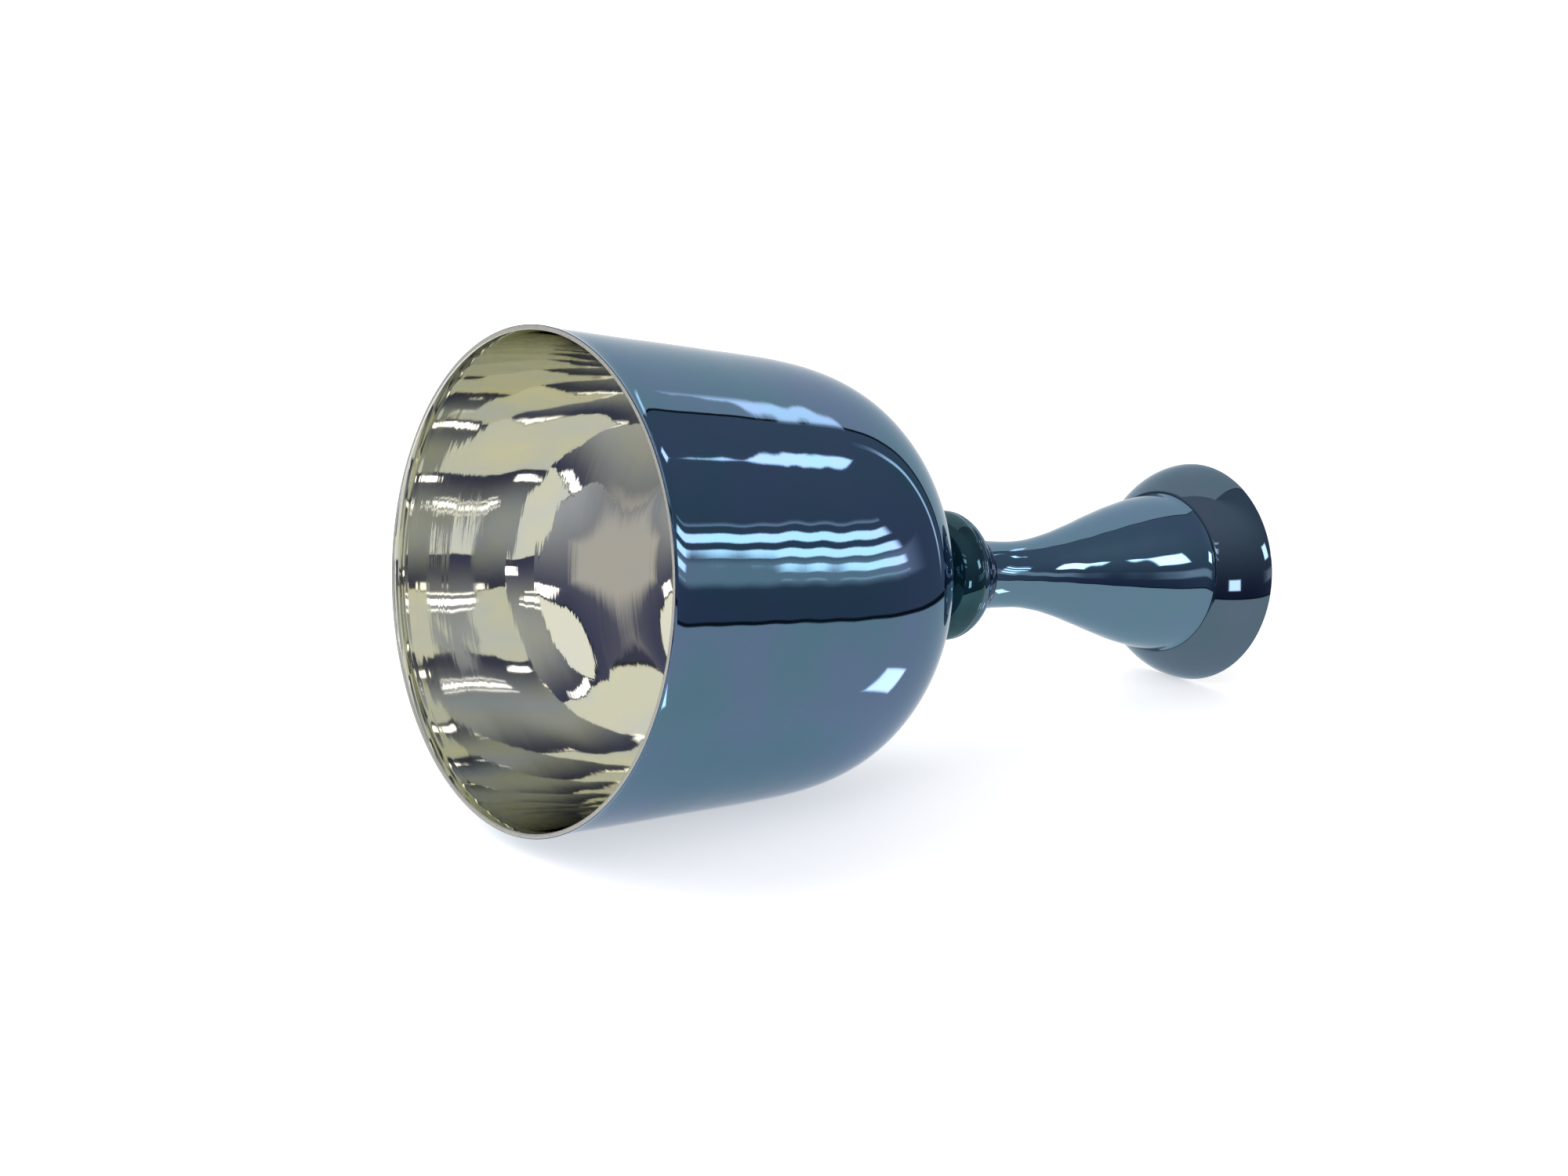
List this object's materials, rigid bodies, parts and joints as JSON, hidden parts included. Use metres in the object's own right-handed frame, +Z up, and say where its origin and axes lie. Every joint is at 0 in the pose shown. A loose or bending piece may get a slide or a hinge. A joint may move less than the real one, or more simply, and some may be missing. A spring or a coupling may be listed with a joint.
{
  "type": "glass hand bell",
  "caption": "Handled singing bell of mirror-coated blown glass: tapered cup with a domed crown, knop, bead, hollow flared handle and rounded foot, lying on its side.",
  "frame": {"origin": "middle of the bell's bounding box at the surface that the bell lies on", "axes": "+X along the bell from the mouth towards the foot, +Z up. The bell's own axis lies in the XZ plane and dips 8.441 degrees below +X towards the foot, because the bell rests on the cup's shoulder and the rim of the foot"},
  "size_m": [0.3992, 0.2, 0.206],
  "materials": {
    "blue_mirror_glass": "blown glass under a steel-blue metallic film outside, pale champagne film inside, polished",
    "teal_glass": "thick deep teal glass under a thinner film, polished"
  },
  "bodies": {
    "root": {"bell_cup": "blue_mirror_glass", "knop": "teal_glass", "bead": "teal_glass", "handle": "blue_mirror_glass", "foot": "blue_mirror_glass"}
  },
  "joints": []
}
